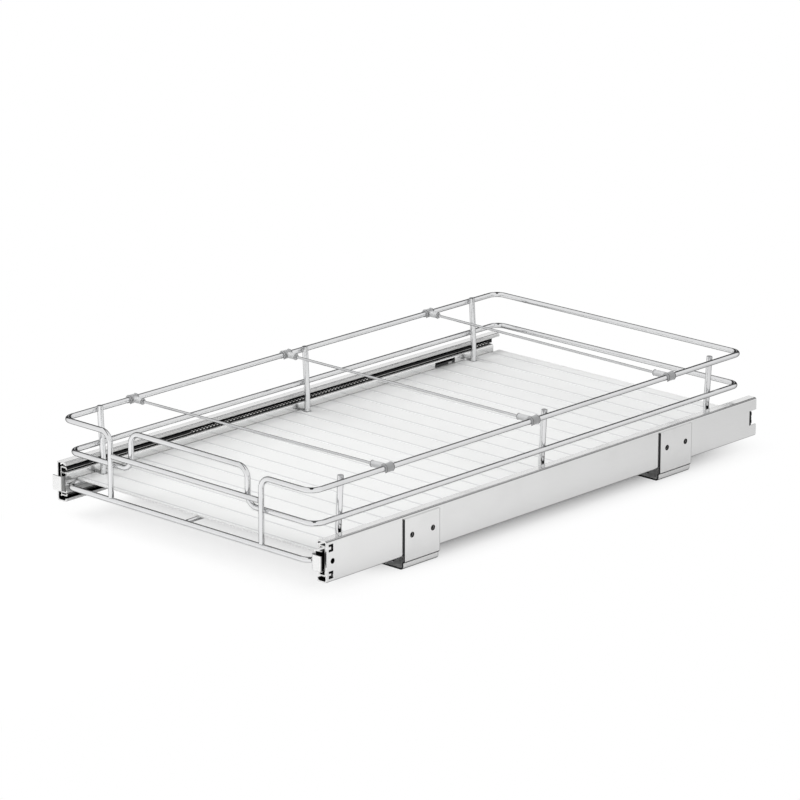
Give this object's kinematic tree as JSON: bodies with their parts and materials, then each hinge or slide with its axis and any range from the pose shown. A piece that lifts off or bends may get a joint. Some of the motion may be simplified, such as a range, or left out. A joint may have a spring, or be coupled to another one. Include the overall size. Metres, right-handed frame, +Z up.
{
  "type": "pull-out cabinet basket",
  "caption": "Chromed wire pull-out basket with ribbed liner and sliding dividers, carried low between ball slides on screwed floor brackets.",
  "frame": {"origin": "middle of the footprint of the closed unit, at floor level", "axes": "+Z up; -Y is the pull direction and the front with the handle; +X to the right seen from the front"},
  "size_m": [0.324, 0.5648, 0.0935],
  "materials": {
    "slide_steel": "satin",
    "inner_steel": "satin",
    "bracket_steel": "satin",
    "wire_chrome": "polished",
    "rivet_steel": "satin",
    "ball_steel": "polished",
    "cage_plastic": "matte",
    "lever_plastic": "matte",
    "clip_plastic": "matte",
    "liner_plastic": "satin",
    "bumper_rubber": "matte"
  },
  "bodies": {
    "base": {"outer_member_left": "slide_steel", "outer_member_right": "slide_steel", "rear_bumper_left": "bumper_rubber", "rear_bumper_right": "bumper_rubber", "bracket_front_left": "bracket_steel", "bracket_front_right": "bracket_steel", "bracket_rear_left": "bracket_steel", "bracket_rear_right": "bracket_steel"},
    "basket": {"drawer_member_left": "slide_steel", "drawer_member_right": "slide_steel", "lever_rivet_left": "rivet_steel", "lever_rivet_right": "rivet_steel", "bottom_frame": "wire_chrome", "centre_wire": "wire_chrome", "cross_wire_front": "wire_chrome", "cross_wire_middle": "wire_chrome", "cross_wire_rear": "wire_chrome", "top_rail": "wire_chrome", "handle_rail": "wire_chrome", "front_bar": "wire_chrome", "liner": "liner_plastic"},
    "middle_left": {"middle_member_left": "inner_steel"},
    "outer_cage_left": {"outer_cage_left": "cage_plastic", "outer_balls_left": "ball_steel"},
    "inner_cage_left": {"inner_cage_left": "cage_plastic", "inner_balls_left": "ball_steel"},
    "lever_left": {"lever_left": "lever_plastic"},
    "middle_right": {"middle_member_right": "inner_steel"},
    "outer_cage_right": {"outer_cage_right": "cage_plastic", "outer_balls_right": "ball_steel"},
    "inner_cage_right": {"inner_cage_right": "cage_plastic", "inner_balls_right": "ball_steel"},
    "lever_right": {"lever_right": "lever_plastic"},
    "divider_front": {"divider_wire_front": "wire_chrome", "clip_front_left": "clip_plastic", "clip_front_right": "clip_plastic"},
    "divider_middle": {"divider_wire_middle": "wire_chrome", "clip_middle_left": "clip_plastic", "clip_middle_right": "clip_plastic"},
    "divider_rear": {"divider_wire_rear": "wire_chrome", "clip_rear_left": "clip_plastic", "clip_rear_right": "clip_plastic"}
  },
  "joints": [
    {"name": "pull_out", "type": "slide", "parent": "base", "child": "basket", "axis": [0, -1, 0], "range_m": [0, 0.5]},
    {"name": "middle_slide_left", "type": "slide", "parent": "base", "child": "middle_left", "axis": [0, -1, 0], "range_m": [0, 0.25]},
    {"name": "outer_cage_slide_left", "type": "slide", "parent": "base", "child": "outer_cage_left", "axis": [0, -1, 0], "range_m": [0, 0.125]},
    {"name": "inner_cage_slide_left", "type": "slide", "parent": "base", "child": "inner_cage_left", "axis": [0, -1, 0], "range_m": [0, 0.375]},
    {"name": "middle_slide_right", "type": "slide", "parent": "base", "child": "middle_right", "axis": [0, -1, 0], "range_m": [0, 0.25]},
    {"name": "outer_cage_slide_right", "type": "slide", "parent": "base", "child": "outer_cage_right", "axis": [0, -1, 0], "range_m": [0, 0.125]},
    {"name": "inner_cage_slide_right", "type": "slide", "parent": "base", "child": "inner_cage_right", "axis": [0, -1, 0], "range_m": [0, 0.375]},
    {"name": "lever_hinge_left", "type": "hinge", "parent": "basket", "child": "lever_left", "pos_m": [-0.1503, 0.2254, 0.03095], "axis": [-1, 0, 0], "range_deg": [0, 2.5], "stiffness_Nm_per_rad": 0.08, "springref_deg": -11.46},
    {"name": "lever_hinge_right", "type": "hinge", "parent": "basket", "child": "lever_right", "pos_m": [0.1503, 0.2254, 0.03095], "axis": [-1, 0, 0], "range_deg": [0, 2.5], "stiffness_Nm_per_rad": 0.08, "springref_deg": -11.46},
    {"name": "divider_front_slide", "type": "slide", "parent": "basket", "child": "divider_front", "axis": [0, 1, 0], "range_m": [-0.035, 0.085]},
    {"name": "divider_middle_slide", "type": "slide", "parent": "basket", "child": "divider_middle", "axis": [0, 1, 0], "range_m": [-0.085, 0.011]},
    {"name": "divider_rear_slide", "type": "slide", "parent": "basket", "child": "divider_rear", "axis": [0, 1, 0], "range_m": [-0.153, 0.047]}
  ],
  "couplings": [
    {"joint": "middle_slide_left", "follows": "pull_out", "ratio": 0.5},
    {"joint": "outer_cage_slide_left", "follows": "pull_out", "ratio": 0.25},
    {"joint": "inner_cage_slide_left", "follows": "pull_out", "ratio": 0.75},
    {"joint": "middle_slide_right", "follows": "pull_out", "ratio": 0.5},
    {"joint": "outer_cage_slide_right", "follows": "pull_out", "ratio": 0.25},
    {"joint": "inner_cage_slide_right", "follows": "pull_out", "ratio": 0.75}
  ]
}
